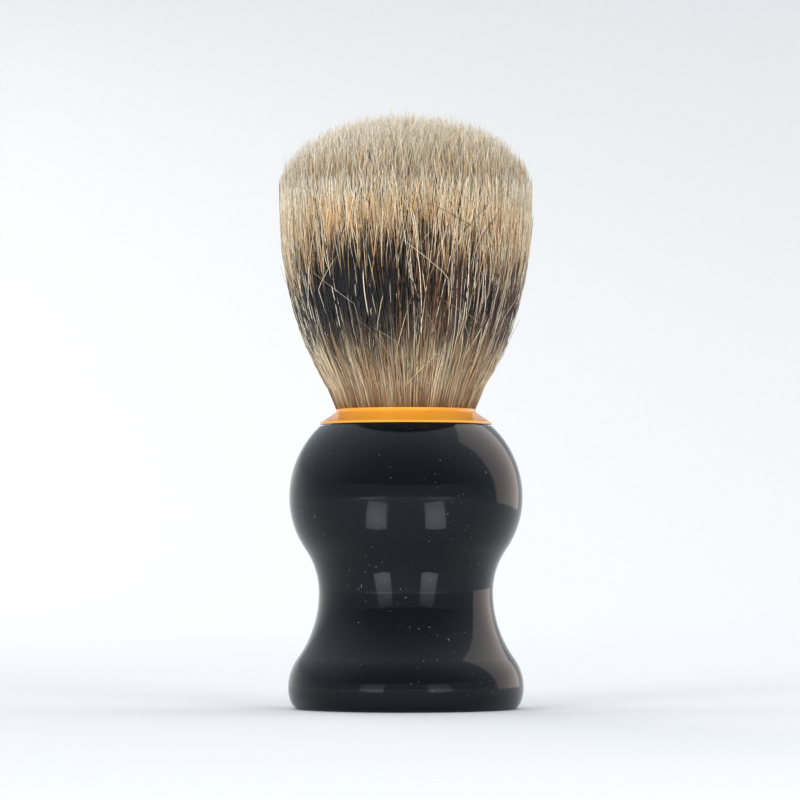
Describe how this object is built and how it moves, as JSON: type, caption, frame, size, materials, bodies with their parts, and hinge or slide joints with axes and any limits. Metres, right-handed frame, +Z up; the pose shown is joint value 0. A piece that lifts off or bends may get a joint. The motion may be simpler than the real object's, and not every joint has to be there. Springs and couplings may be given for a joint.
{
  "type": "shaving brush",
  "caption": "Shaving brush with a glossy black waisted handle, an orange collar ring and a domed knot of badger-type hair.",
  "frame": {"origin": "centre of the base, on the surface that the brush stands on", "axes": "+Z up along the brush's axis, towards the hair's tips; the brush is round, so +X and +Y are free"},
  "size_m": [0.0432, 0.0432, 0.1008],
  "materials": {
    "handle_black": "gloss",
    "plug_black": "satin",
    "ballast_steel": "satin",
    "epoxy": "gloss",
    "cup_plastic": "satin",
    "thread": "matte",
    "collar_orange": "gloss",
    "hair": "matte"
  },
  "bodies": {
    "root": {"handle_body": "handle_black", "base_plug": "plug_black", "ballast_slug": "ballast_steel", "socket_adhesive": "epoxy", "knot_cup": "cup_plastic", "resin_plug": "epoxy", "root_binding": "thread", "collar_ring": "collar_orange", "hair_knot": "hair"}
  },
  "joints": []
}
